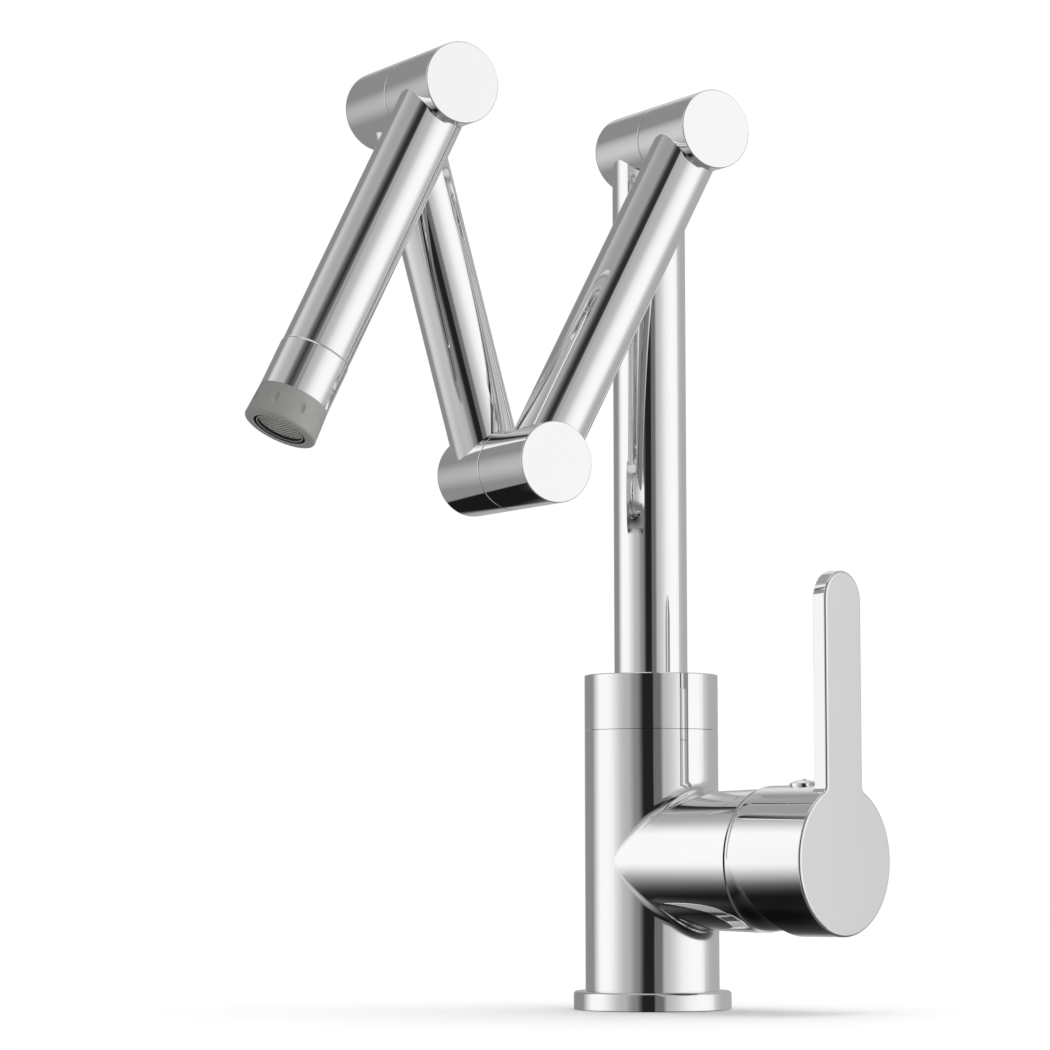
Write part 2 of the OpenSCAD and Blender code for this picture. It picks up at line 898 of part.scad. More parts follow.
module spout_spigot() {
    color(brass)
        difference() {
            union() {
                translate([0, 0, body_top - spigot_len]) cylinder(d = spigot_d, h = spigot_len + seam_gap);
                translate([0, 0, body_top])
                    cylinder(r = spigot_neck_d / 2 - seat_gap, h = spigot_step + seam_gap);
            }
            translate([0, 0, body_top - spigot_len - over])
                cylinder(d = spigot_bore, h = spigot_len + spigot_step + 3 * over);
            ring(
                spigot_d / 2 + over, spigot_d / 2 - stop_groove_depth,
                spout_screw_z - stop_groove_w / 2, spout_screw_z + stop_groove_w / 2
            );
            for (drop = spigot_ring_drops)
                ring(
                    spigot_d / 2 + over, spigot_d / 2 - 2 * spigot_ring_r,
                    body_top - drop - spigot_ring_r - seal_gap, body_top - drop + spigot_ring_r + seal_gap
                );
        }
}

module spigot_o_rings() {
    color(seal_black)
        for (drop = spigot_ring_drops)
            o_ring(spigot_d / 2 - spigot_ring_r, spigot_ring_r - run_fit, body_top - drop);
}

module riser_tube() {
    in_chrome()
        difference() {
            translate([0, 0, riser_foot]) cylinder(d = riser_d, h = riser_top - riser_foot);
            translate([0, 0, riser_foot - over])
                cylinder(d = riser_d - 2 * riser_wall, h = riser_top - riser_foot + 2 * over);
            hub_space(hub_a);
        }
}

// Hub joints

// Space of a hub, for coping the tube that is brazed to it
module hub_space(hub) {
    with_spout()
        translate([0, hub.x, hub.y])
            rotate([0, 90, 0])
                cylinder(d = hub_d + 2 * seat_gap, h = 4 * hub_half, center = true);
}

module hub_half_shell(hub, front, toward) {
    bore_gap = front ? run_fit : seat_gap;
    in_chrome()
        difference() {
            hub_frame(hub, front)
                difference() {
                    rotate([180, 0, 0])
                        rotate_extrude()
                            round_end_section(hub_d / 2, cap_t - hub_half, -seam_gap / 2, hub_round);
                    translate([0, 0, web_t]) cylinder(d = chamber_d, h = hub_half);
                    cylinder(r = pivot_d / 2 + bore_gap, h = hub_half);
                    cylinder(d = washer_d + 2 * seal_gap, h = turn_gap / 2 + washer_seat);
                }
            aim(hub, toward, front ? hub_half : 0) cylinder(d = port_d, h = hub_d);
        }
}

module hub_cap(hub, front) {
    edge = front ? hub_round : cap_round;
    plug_r = chamber_d / 2 - seat_gap;
    in_chrome()
        hub_frame(hub, front) {
            rotate_extrude()
                round_end_section(hub_d / 2, hub_half - cap_t, hub_half, edge);
            ring(plug_r, plug_r - cap_t, hub_half - cap_t - plug_len, hub_half - cap_t);
        }
}

// Hollow pivot: screwed into the back half, running in the front half
module hub_pivot(hub) {
    color(brass)
        hub_frame(hub, true)
            difference() {
                union() {
                    translate([0, 0, -web_t - pivot_head_t])
                        cylinder(d = pivot_d, h = pivot_head_t + web_t + pivot_tail);
                    translate([0, 0, -web_t - pivot_head_t])
                        cylinder(r = pivot_d / 2 + pivot_head_t, h = pivot_head_t - seat_gap, $fn = 6);
                }
                translate([0, 0, -web_t - pivot_head_t - over]) cylinder(d = pivot_bore, h = 4 * web_t);
                for (z = pivot_ring_places)
                    ring(
                        pivot_d / 2 + over, pivot_d / 2 - 2 * pivot_ring_r - run_fit,
                        z - pivot_ring_r - seal_gap, z + pivot_ring_r + seal_gap
                    );
                ring(
                    pivot_d / 2 + over, (pivot_d - clip_w) / 2,
                    web_t + turn_gap - seat_gap, web_t + turn_gap + clip_t + seat_gap
                );
            }
}

module hub_o_rings(hub) {
    color(seal_black)
        hub_frame(hub, true)
            for (z = pivot_ring_places)
                o_ring(pivot_d / 2 - pivot_ring_r, pivot_ring_r - run_fit / 2, z);
}

module hub_washer(hub) {
    color(white_plastic)
        hub_frame(hub, true) ring(washer_d / 2, pivot_d / 2 + seal_gap, -washer_t / 2, washer_t / 2);
}

module hub_clip(hub) {
    gap_w = pivot_d / 2;
    color(steel)
        hub_frame(hub, true)
            difference() {
                ring(
                    pivot_d / 2 + clip_w / 2, pivot_d / 2 - clip_w / 2 + seat_gap,
                    web_t + turn_gap, web_t + turn_gap + clip_t
                );
                translate([0, -gap_w / 2, web_t]) cube([pivot_d, gap_w, 2 * web_t]);
            }
}

// Tube between two hubs, coped to both
module arm_tube(from, to, x) {
    in_chrome()
        difference() {
            aim(from, to, x)
                difference() {
                    cylinder(d = tube_d, h = norm(to - from));
                    translate([0, 0, -over])
                        cylinder(d = tube_d - 2 * tube_wall, h = norm(to - from) + 2 * over);
                }
            hub_space(from);
            hub_space(to);
        }
}

module hub_a_back() hub_half_shell(hub_a, false, hub_a - [0, riser_top]);
module hub_a_back_cap() hub_cap(hub_a, false);
module hub_a_pivot() hub_pivot(hub_a);
module hub_a_o_rings() hub_o_rings(hub_a);
module hub_a_washer() hub_washer(hub_a);
module hub_a_clip() hub_clip(hub_a);
module hub_a_front() hub_half_shell(hub_a, true, hub_b);
module hub_a_front_cap() hub_cap(hub_a, true);
module arm_1_tube() arm_tube(hub_a, hub_b, hub_half);
module hub_b_front() hub_half_shell(hub_b, true, hub_a);
module hub_b_front_cap() hub_cap(hub_b, true);
module hub_b_back() hub_half_shell(hub_b, false, hub_c);
module hub_b_back_cap() hub_cap(hub_b, false);
module hub_b_pivot() hub_pivot(hub_b);
module hub_b_o_rings() hub_o_rings(hub_b);
module hub_b_washer() hub_washer(hub_b);
module hub_b_clip() hub_clip(hub_b);
module arm_2_tube() arm_tube(hub_b, hub_c, 0);
module hub_c_back() hub_half_shell(hub_c, false, hub_b);
module hub_c_back_cap() hub_cap(hub_c, false);
module hub_c_pivot() hub_pivot(hub_c);
module hub_c_o_rings() hub_o_rings(hub_c);
module hub_c_washer() hub_washer(hub_c);
module hub_c_clip() hub_clip(hub_c);
module hub_c_front() hub_half_shell(hub_c, true, spout_end);
module hub_c_front_cap() hub_cap(hub_c, true);

// Outlet: local +Z runs down the spout from its hub's axis

module along_spout() aim(hub_c, spout_end, hub_half) children();

module spout_tube() {
    in_chrome()
        difference() {
            along_spout() ring(tube_d / 2, tube_d / 2 - tube_wall, 0, spout_len);
            hub_space(hub_c);
        }
}

module outlet_collar() {
    in_chrome()
        along_spout()
            difference() {
                union() {
                    translate([0, 0, spout_len])
                        cylinder(r1 = tube_d / 2 - seam_edge, r2 = outlet_d / 2, h = collar_bevel);
                    ring(outlet_d / 2, collar_bore_r, spout_len + collar_bevel, outlet_end);
                    translate([0, 0, spout_len - collar_spigot_len])
                        cylinder(
                            r = tube_d / 2 - tube_wall - seat_gap,
                            h = collar_spigot_len + collar_bevel
                        );
                }
                cylinder(r = collar_bore_r, h = lip_end);
                translate([0, 0, outlet_end - thread_len])
                    cylinder(r = thread_r + seat_gap, h = thread_len + over);
            }
}

module aerator_washer() {
    color(seal_black)
        along_spout()
            ring(thread_r - seal_gap, collar_bore_r, washer_foot - washer_t, washer_foot);
}

// Flutes that give the fingers a hold
module aerator_flutes() {
    for (k = [0 : notch_count - 1])
        rotate([0, 0, flute_turn + k * 360 / notch_count])
            translate([aerator_top_d / 2 + flute_wheel_r - flute_depth, 0, outlet_end + flute_place])
                rotate([90, 0, 0])
                    rotate_extrude()
                        translate([flute_wheel_r - flute_r, 0]) circle(r = flute_r);
}

module aerator_housing() {
    lip_r = aerator_lip_d / 2;
    color(grey_plastic)
        along_spout()
            difference() {
                union() {
                    ring(thread_r, insert_r, washer_foot + seat_gap, outlet_end + over);
                    rotate_extrude()
                        polygon([
                            [insert_r, outlet_end + seat_gap],
                            [aerator_top_d / 2, outlet_end + seat_gap],
                            [lip_r, lip_end - lip_round],
                            [lip_r - lip_round / 3, lip_end - lip_round / 3],
                            [lip_r - lip_round, lip_end],
                            [insert_r, lip_end]
                        ]);
                }
                translate([0, 0, lip_end - mouth_depth])
                    cylinder(r1 = insert_r, r2 = insert_r + mouth_flare, h = mouth_depth);
                aerator_flutes();
                for (k = [0 : dimple_count - 1])
                    rotate([0, 0, k * 360 / dimple_count])
                        translate([dimple_ring_r, 0, lip_end - dimple_depth])
                            cylinder(r = dimple_r, h = 2 * dimple_depth);
            }
}

module flow_straightener() {
    outer = insert_r - seat_gap;
    inner = outer - insert_wall;
    screen_back = insert_end - screen_recess - screen_t;
    color(grey_plastic)
        along_spout() {
            difference() {
                ring(outer, inner, insert_end - insert_len, insert_end);
                translate([0, 0, screen_back]) cylinder(r = screen_seat_r, h = insert_len);
                ring(
                    outer + over, outer - insert_groove,
                    insert_end - insert_groove_depth, insert_end + over
                );
            }
            for (k = [0 : insert_ribs - 1])
                rotate([0, 0, k * 180 / insert_ribs])
                    translate([-inner - insert_wall / 2, -insert_rib / 2, insert_end - insert_len])
                        cube([2 * inner + insert_wall, insert_rib, insert_len / 2]);
        }
}

module spray_screen() {
    r = screen_seat_r - seat_gap;
    rows = floor(r / screen_pitch);
    row_step = screen_pitch * sin(60);
    color(grey_plastic)
        along_spout()
            translate([0, 0, insert_end - screen_recess - screen_t])
                difference() {
                    cylinder(r = r, h = screen_t);
                    for (row = [-rows : rows], k = [-2 * rows : 2 * rows])
                        let (place = [(k + (row % 2 == 0 ? 0 : 0.5)) * screen_pitch, row * row_step])
                            if (norm(place) < r - screen_rim)
                                translate([place.x, place.y, -over])
                                    cylinder(d = screen_hole_d, h = screen_t + 2 * over);
                }
}

base_flange();
base_gasket();
valve_body();
cartridge_seal();
fixed_disc();
cartridge_housing();
cartridge_nut();
trim_dome();
glide_ring();
spout_grub_screw();
moving_disc();
disc_carrier();
cartridge_rotor();
stem_pin();
cartridge_stem();
lever_handle();
handle_grub_screw();
index_button();
swivel_collar();
spout_spigot();
spigot_o_rings();
riser_tube();
hub_a_back();
hub_a_back_cap();
hub_a_pivot();
hub_a_o_rings();
hub_a_washer();
hub_a_clip();
hub_a_front();
hub_a_front_cap();
arm_1_tube();
hub_b_front();
hub_b_front_cap();
hub_b_back();
hub_b_back_cap();
hub_b_pivot();
hub_b_o_rings();
hub_b_washer();
hub_b_clip();
arm_2_tube();
hub_c_back();
hub_c_back_cap();
hub_c_pivot();
hub_c_o_rings();
hub_c_washer();
hub_c_clip();
hub_c_front();
hub_c_front_cap();
spout_tube();
outlet_collar();
aerator_washer();
aerator_housing();
flow_straightener();
spray_screen();
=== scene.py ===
"""Deck-mount pot filler: finishes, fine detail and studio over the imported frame.

Lengths are written in millimetres and turned to metres with MM. The frame is
the CAD's own: z up from the deck, the lever's axis along x, the spout towards
-y with its arms folded in a zigzag.
"""

from __future__ import annotations

import json
import logging
import math
from collections.abc import Mapping, Sequence
from dataclasses import asdict, dataclass, replace
from enum import Enum
from typing import Any

import bpy
from mathutils import Matrix, Vector


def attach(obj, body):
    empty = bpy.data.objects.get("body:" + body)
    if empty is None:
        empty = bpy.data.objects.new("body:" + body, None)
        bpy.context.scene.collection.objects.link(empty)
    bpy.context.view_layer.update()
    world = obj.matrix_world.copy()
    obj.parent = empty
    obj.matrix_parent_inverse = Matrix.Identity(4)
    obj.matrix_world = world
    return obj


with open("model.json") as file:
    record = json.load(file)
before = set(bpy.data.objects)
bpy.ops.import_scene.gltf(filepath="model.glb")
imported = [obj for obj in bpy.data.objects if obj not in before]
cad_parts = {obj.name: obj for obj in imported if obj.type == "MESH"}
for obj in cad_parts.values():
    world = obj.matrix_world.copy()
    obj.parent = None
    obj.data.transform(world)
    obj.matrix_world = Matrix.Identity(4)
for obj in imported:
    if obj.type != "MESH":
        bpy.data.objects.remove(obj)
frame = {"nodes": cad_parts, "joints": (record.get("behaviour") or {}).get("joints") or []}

MM = 0.001
UP = Vector((0, 0, 1))
WHITE = "#FFFFFF"
# Nearly all that a noise texture gives lies between these two.
NOISE_LOW, NOISE_HIGH = 0.3, 0.7
# Places of a Mix node's colour sockets, whose names repeat for each kind of data.
MIX_FIRST, MIX_SECOND, MIX_RESULT = 6, 7, 2

log = logging.getLogger("pot_filler")


def linear(hex_colour: str) -> tuple[float, float, float, float]:
    """Turns an sRGB hex colour to Blender's linear RGBA.

    Args:
        hex_colour: the colour as "#RRGGBB".

    Returns:
        Linear red, green and blue, and an alpha of 1.
    """
    channels = []
    for start in (1, 3, 5):
        value = int(hex_colour[start : start + 2], 16) / 255
        channels.append(value / 12.92 if value <= 0.04045 else ((value + 0.055) / 1.055) ** 2.4)
    return (channels[0], channels[1], channels[2], 1.0)


def empty_tree(owner: bpy.types.Material | bpy.types.World) -> bpy.types.NodeTree:
    """Turns nodes on and takes out the ready-made ones.

    Args:
        owner: the material or world.

    Returns:
        Its node tree, with nothing in it.
    """
    owner.use_nodes = True
    owner.node_tree.nodes.clear()
    return owner.node_tree


def add_node(
    tree: bpy.types.NodeTree,
    kind: str,
    inputs: Mapping[str | int, Any] | None = None,
    **settings: Any,
) -> bpy.types.Node:
    """Adds one node with its settings, and its inputs set or linked.

    Args:
        tree: the node tree that gets the node.
        kind: the node's class name after "ShaderNode".
        inputs: for an input's name or number, its value or the output that feeds it.
        **settings: the node's own attributes.

    Returns:
        The new node.
    """
    node = tree.nodes.new("ShaderNode" + kind)
    for name, value in settings.items():
        setattr(node, name, value)
    for key, value in (inputs or {}).items():
        if isinstance(value, bpy.types.NodeSocket):
            tree.links.new(value, node.inputs[key])
        else:
            node.inputs[key].default_value = value
    return node


def put(name: str, data: bpy.types.Mesh | bpy.types.Camera) -> bpy.types.Object:
    """Makes an object and puts it in the scene.

    Args:
        name: the object's name.
        data: its mesh or camera.

    Returns:
        The new object.
    """
    thing = bpy.data.objects.new(name, data)
    bpy.context.scene.collection.objects.link(thing)
    return thing


def grid_mesh(
    name: str,
    rows: Sequence[Sequence[Vector]],
    normals: Sequence[Sequence[Vector]] | None = None,
    closed: bool = True,
) -> bpy.types.Mesh:
    """Makes a smooth mesh from rows of points.

    Args:
        name: the mesh's name.
        rows: rows of equal length, in metres.
        normals: a normal for each point, for a surface whose form is known.
        closed: whether the last row joins the first.

    Returns:
        The mesh.
    """
    count, width = len(rows), len(rows[0])
    faces = [
        (
            k * width + i,
            k * width + i + 1,
            (k + 1) % count * width + i + 1,
            (k + 1) % count * width + i,
        )
        for k in range(count if closed else count - 1)
        for i in range(width - 1)
    ]
    mesh = bpy.data.meshes.new(name)
    mesh.from_pydata([tuple(p) for row in rows for p in row], [], faces)
    mesh.polygons.foreach_set("use_smooth", [True] * len(mesh.polygons))
    mesh.update()
    if normals:
        mesh.normals_split_custom_set_from_vertices([tuple(n) for row in normals for n in row])
    return mesh


class Slot(Enum):
    """The record's material slots, by the real material."""

    CHROME = "chromed_brass"
    BRASS = "brass"
    STEEL = "stainless_steel"
    RUBBER = "black_rubber"
    CERAMIC = "ceramic"
    ACETAL = "white_acetal"
    BLUE = "blue_plastic"
    GREY = "grey_plastic"


@dataclass(frozen=True)
class Finish:
    """A surface: one real material and how it was made.

    Args:
        name: the material's common name and process.
        colour: base colour, sRGB hex.
        tone: a second colour that the surface drifts to.
        metallic: 1 for a bare metal, 0 for the rest.
        rough: lowest and highest roughness.
        grain_mm: size of the surface's relief.
        relief_mm: height of that relief.
        drift_mm: size of the patches in which colour and roughness drift.
    """

    name: str
    colour: str
    tone: str
    metallic: float
    rough: tuple[float, float]
    grain_mm: float
    relief_mm: float
    drift_mm: float

    def shade(
        self, tree: bpy.types.NodeTree, place: bpy.types.NodeSocket, colour: bpy.types.NodeSocket
    ) -> bpy.types.NodeSocket:
        """Leaves the colour as it is: a plain finish has no painted shade in recesses."""
        return colour

    def build(self) -> bpy.types.Material:
        """Builds the node material.

        Returns:
            The new material, with drift in colour and roughness and a fine relief.
        """
        material = bpy.data.materials.new(self.name)
        tree = empty_tree(material)
        place = add_node(tree, "TexCoord").outputs["Object"]
        drift = add_node(
            tree,
            "TexNoise",
            {"Vector": place, "Scale": 1 / (self.drift_mm * MM), "Detail": 2.0, "Roughness": 0.5},
        ).outputs["Fac"]
        colour = add_node(
            tree,
            "Mix",
            {"Factor": drift, MIX_FIRST: linear(self.colour), MIX_SECOND: linear(self.tone)},
            data_type="RGBA",
        ).outputs[MIX_RESULT]
        colour = self.shade(tree, place, colour)
        smooth, coarse = self.rough
        rough = add_node(
            tree,
            "MapRange",
            {
                "Value": drift,
                "From Min": NOISE_LOW,
                "From Max": NOISE_HIGH,
                "To Min": smooth,
                "To Max": coarse,
            },
        ).outputs["Result"]
        grain = add_node(
            tree,
            "TexNoise",
            {"Vector": place, "Scale": 1 / (self.grain_mm * MM), "Detail": 1.0, "Roughness": 0.4},
        ).outputs["Fac"]
        relief = add_node(
            tree, "Bump", {"Height": grain, "Strength": 1.0, "Distance": self.relief_mm * MM}
        ).outputs["Normal"]
        shader = add_node(
            tree,
            "BsdfPrincipled",
            {"Base Color": colour, "Roughness": rough, "Normal": relief, "Metallic": self.metallic},
        )
        add_node(tree, "OutputMaterial", {"Surface": shader.outputs["BSDF"]})
        return material


@dataclass(frozen=True)
class PaintedShadeFinish(Finish):
    """A finish with painted shade in its piece's recesses, where little light gets.

    Args:
        start: a point on the piece's axis at rest, in metres.
        heading: the axis, a unit vector out of the piece's face.
        face_mm: how far along the axis the painted shade starts, just below the face.
        depth_mm: how much deeper it is fully dark.
        reach_mm: the radius within which the recesses lie.
        rim_share: the share of that radius within which the painted shade is full.
        dark: the colour of the painted shade in the recesses, sRGB hex.
    """

    start: tuple[float, float, float]
    heading: tuple[float, float, float]
    face_mm: float
    depth_mm: float
    reach_mm: float
    rim_share: float = 0.98
    # painted shade: the colour that the recesses turn to
    dark: str = "#1E1E1C"

    def shade(
        self, tree: bpy.types.NodeTree, place: bpy.types.NodeSocket, colour: bpy.types.NodeSocket
    ) -> bpy.types.NodeSocket:
        """Paints shade on what lies below the face.

        Args:
            tree: the material's nodes.
            place: the point at rest.
            colour: the colour at the face.

        Returns:
            The colour with painted shade in its recesses.
        """
        arm = add_node(
            tree, "VectorMath", {0: place, 1: self.start}, operation="SUBTRACT"
        ).outputs[0]
        along = add_node(
            tree, "VectorMath", {0: arm, 1: self.heading}, operation="DOT_PRODUCT"
        ).outputs["Value"]
        across = add_node(
            tree, "VectorMath", {0: arm, 1: self.heading}, operation="CROSS_PRODUCT"
        ).outputs[0]
        radius = add_node(tree, "VectorMath", {0: across}, operation="LENGTH").outputs["Value"]
        face, deep = self.face_mm * MM, (self.face_mm - self.depth_mm) * MM
        below = add_node(
            tree, "MapRange", {"Value": along, "From Min": face, "From Max": deep}
        ).outputs["Result"]
        reach = self.reach_mm * MM
        rim = reach * self.rim_share
        inside = add_node(
            tree, "MapRange", {"Value": radius, "From Min": reach, "From Max": rim}
        ).outputs["Result"]
        # painted shade: full below the face and inside the reach, none at the face
        painted_shade_mask = add_node(tree, "Math", {0: below, 1: inside}, operation="MULTIPLY").outputs[0]
        return add_node(
            tree,
            "Mix",
            {"Factor": painted_shade_mask, MIX_FIRST: colour, MIX_SECOND: linear(self.dark)},
            data_type="RGBA",
        ).outputs[MIX_RESULT]


# Chromium plated over polished brass. The plate copies the polish under it, so the
# reflection is sharp, with only the long soft waves that a buffing wheel leaves.
POLISHED_CHROME = Finish(
    name="chrome_plated_and_polished",
    colour="#FAFAFA",
    tone="#F7F7F7",
    metallic=1.0,
    rough=(0.015, 0.035),
    grain_mm=9.0,
    relief_mm=0.0004,
    drift_mm=25.0,
)
# Free-cutting brass as turned, never plated: warm, with fine tool marks.
TURNED_BRASS = Finish(
    name="brass_turned",
    colour="#D9B36A",
    tone="#C89F55",
    metallic=1.0,
    rough=(0.22, 0.34),
    grain_mm=0.35,
    relief_mm=0.004,
    drift_mm=8.0,
)
# Stainless spring steel, stamped and tumbled: grey and a little satin.
TUMBLED_STEEL = Finish(
    name="stainless_steel_stamped_and_tumbled",
    colour="#C3C5C7",
    tone="#B4B6B8",
    metallic=1.0,
    rough=(0.24, 0.36),
    grain_mm=0.3,
    relief_mm=0.003,
    drift_mm=6.0,
)
# Nitrile rubber from a polished mould: nearly black, with a dull sheen.
MOULDED_RUBBER = Finish(
    name="nitrile_rubber_moulded",
    colour="#1E1E20",
    tone="#262628",
    metallic=0.0,
    rough=(0.5, 0.62),
    grain_mm=0.4,
    relief_mm=0.006,
    drift_mm=5.0,
)
# Alumina, fired and lapped: off-white, with the lapped faces nearly mirror flat.
LAPPED_CERAMIC = Finish(
    name="alumina_fired_and_lapped",
    colour="#EFEDE6",
    tone="#E7E4DB",
    metallic=0.0,
    rough=(0.12, 0.22),
    grain_mm=0.25,
    relief_mm=0.001,
    drift_mm=4.0,
)
# Acetal resin, injection moulded: milky white and waxy.
MOULDED_ACETAL = Finish(
    name="acetal_moulded",
    colour="#ECECE8",
    tone="#E2E2DD",
    metallic=0.0,
    rough=(0.32, 0.42),
    grain_mm=0.3,
    relief_mm=0.002,
    drift_mm=6.0,
)
# Nylon, injection moulded in a mid blue, as cartridge parts are.
MOULDED_BLUE = Finish(
    name="nylon_moulded_blue",
    colour="#2F6DB5",
    tone="#2862A6",
    metallic=0.0,
    rough=(0.35, 0.45),
    grain_mm=0.3,
    relief_mm=0.002,
    drift_mm=6.0,
)
# ABS, injection moulded in warm grey from a lightly spark-eroded mould: matte.
MOULDED_GREY = Finish(
    name="abs_moulded_grey",
    colour="#949491",
    tone="#8C8C89",
    metallic=0.0,
    rough=(0.48, 0.58),
    grain_mm=0.22,
    relief_mm=0.004,
    drift_mm=5.0,
)

FINISHES: dict[Slot, Finish] = {
    Slot.CHROME: POLISHED_CHROME,
    Slot.BRASS: TURNED_BRASS,
    Slot.STEEL: TUMBLED_STEEL,
    Slot.RUBBER: MOULDED_RUBBER,
    Slot.CERAMIC: LAPPED_CERAMIC,
    Slot.ACETAL: MOULDED_ACETAL,
    Slot.BLUE: MOULDED_BLUE,
    Slot.GREY: MOULDED_GREY,
}


class Wardrobe:
    """Builds each finish once and puts it on CAD nodes and new pieces."""

    def __init__(self) -> None:
        """Builds nothing yet."""
        self._built: dict[Slot, bpy.types.Material] = {}

    def material(self, slot: Slot) -> bpy.types.Material:
        """Gives the material of a slot.

        Args:
            slot: the record's slot.

        Returns:
            Its material, built on first use.
        """
        if slot not in self._built:
            self._built[slot] = FINISHES[slot].build()
        return self._built[slot]

    def dress(
        self, names: Sequence[str], slot: Slot, own: bpy.types.Material | None = None
    ) -> None:
        """Dresses CAD nodes.

        Args:
            names: the nodes.
            slot: the slot whose finish they get.
            own: a variant of that finish made for these nodes alone.
        """
        material = own or self.material(slot)
        for name in names:
            piece = frame["nodes"][name]
            if not piece.data.materials:
                piece.data.materials.append(material)
            for place in piece.material_slots:
                place.material = material
        log.info("dressed %s: %s", slot.value, ", ".join(names))

    def add(self, mesh: bpy.types.Mesh, body: str, slot: Slot) -> None:
        """Adds a new piece that rides on a body.

        Args:
            mesh: its mesh, in metres in the frame, with the piece's name.
            body: the body that it rides on.
            slot: the slot whose finish it gets.
        """
        mesh.materials.append(self.material(slot))
        piece = put(mesh.name, mesh)
        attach(piece, body)
        log.info("added %s: %d faces on %s", mesh.name, len(mesh.polygons), body)


@dataclass
class BaseMount:
    """The flange on the deck and its seal."""

    chrome: tuple[str, ...] = ("base_flange",)
    rubber: tuple[str, ...] = ("base_gasket",)

    def dress(self, wardrobe: Wardrobe) -> None:
        """Dresses the flange and the gasket."""
        wardrobe.dress(self.chrome, Slot.CHROME)
        wardrobe.dress(self.rubber, Slot.RUBBER)


@dataclass
class ValveBody:
    """The upright body with its side branch.

    The corner between the two carries a rolling-ball fillet. Its surface is known
    exactly, so it is laid over the CAD's faceted one with its true normals.

    Args:
        body_r: radius of the upright body.
        branch_root_r: radius of the branch's cone at the body's axis.
        branch_end_r: radius of the cone at the branch's mouth.
        branch_reach: the mouth's distance from the body's axis.
        axis_z: height of the branch's axis above the deck.
        fillet: radius of the ball that rolls in the corner.
        stations: places round the branch at which the ball stops.
        steps: strips between the body's side of the fillet and the branch's.
        rounds: tries in which the ball's place settles.
        nodes: the CAD nodes.
    """

    body_r: float = 25.5
    branch_root_r: float = 25.3
    branch_end_r: float = 26.7
    branch_reach: float = 55.5
    axis_z: float = 56.0
    fillet: float = 5.0
    stations: int = 288
    steps: int = 14
    rounds: int = 24
    nodes: tuple[str, ...] = ("valve_body",)

    def branch_r(self, x: float) -> float:
        """Gives the radius of the branch's cone at x."""
        return self.branch_root_r + (self.branch_end_r - self.branch_root_r) * x / self.branch_reach

    def ball(self, turn: float) -> Vector:
        """Finds where a ball that rolls in the corner lies.

        Args:
            turn: angle round the branch from straight up, in radians.

        Returns:
            The ball's centre from the branch's axis, in millimetres.
        """
        x = self.body_r
        for _ in range(self.rounds):
            side = (self.branch_r(x) + self.fillet) * math.sin(turn)
            x = math.sqrt(max(0.0, (self.body_r + self.fillet) ** 2 - side**2))
        far = self.branch_r(x) + self.fillet
        return Vector((x, far * math.sin(turn), far * math.cos(turn)))

    def fillet_mesh(self) -> bpy.types.Mesh:
        """Builds the fillet's surface.

        Returns:
            The mesh, with the normals of the rolling ball.
        """
        rows, normals = [], []
        for k in range(self.stations):
            ball = self.ball((k + 0.5) * math.tau / self.stations)
            to_body = Vector((-ball.x, -ball.y, 0)).normalized()
            to_branch = Vector((0, -ball.y, -ball.z)).normalized()
            ways = [to_body.slerp(to_branch, i / self.steps) for i in range(self.steps + 1)]
            rows.append([(ball + way * self.fillet + UP * self.axis_z) * MM for way in ways])
            normals.append([-way for way in ways])
        return grid_mesh("branch_fillet", rows, normals)

    def dress(self, wardrobe: Wardrobe) -> None:
        """Dresses the body and lays the fillet's surface in its corner."""
        wardrobe.dress(self.nodes, Slot.CHROME)
        wardrobe.add(self.fillet_mesh(), "base", Slot.CHROME)


@dataclass
class Cartridge:
    """The ceramic-disc cartridge in the branch."""

    ceramic: tuple[str, ...] = ("fixed_disc", "moving_disc")
    rubber: tuple[str, ...] = ("cartridge_seal",)
    housing: tuple[str, ...] = ("cartridge_housing",)
    moving: tuple[str, ...] = ("disc_carrier", "cartridge_rotor")
    brass: tuple[str, ...] = ("cartridge_nut",)
    steel: tuple[str, ...] = ("stem_pin", "cartridge_stem")

    def dress(self, wardrobe: Wardrobe) -> None:
        """Dresses the discs, the seal, the housing and the stem.

        Args:
            wardrobe: what holds the finishes.
        """
        wardrobe.dress(self.ceramic, Slot.CERAMIC)
        wardrobe.dress(self.rubber, Slot.RUBBER)
        wardrobe.dress(self.housing, Slot.ACETAL)
        wardrobe.dress(self.moving, Slot.BLUE)
        wardrobe.dress(self.brass, Slot.BRASS)
        wardrobe.dress(self.steel, Slot.STEEL)


@dataclass
class LeverHandle:
    """The lever, the dome it rides over, its screw and its index button."""

    chrome: tuple[str, ...] = ("trim_dome", "lever_handle", "index_button")
    steel: tuple[str, ...] = ("handle_grub_screw",)

    def dress(self, wardrobe: Wardrobe) -> None:
        """Dresses the lever's pieces."""
        wardrobe.dress(self.chrome, Slot.CHROME)
        wardrobe.dress(self.steel, Slot.STEEL)


@dataclass
class Swivel:
    """The collar and riser that turn in the body, with what seals and holds them."""

    chrome: tuple[str, ...] = ("swivel_collar", "riser_tube")
    brass: tuple[str, ...] = ("spout_spigot",)
    rubber: tuple[str, ...] = ("spigot_o_rings",)
    acetal: tuple[str, ...] = ("glide_ring",)
    steel: tuple[str, ...] = ("spout_grub_screw",)

    def dress(self, wardrobe: Wardrobe) -> None:
        """Dresses the swivel's pieces.

        Args:
            wardrobe: what holds the finishes.
        """
        wardrobe.dress(self.chrome, Slot.CHROME)
        wardrobe.dress(self.brass, Slot.BRASS)
        wardrobe.dress(self.rubber, Slot.RUBBER)
        wardrobe.dress(self.acetal, Slot.ACETAL)
        wardrobe.dress(self.steel, Slot.STEEL)


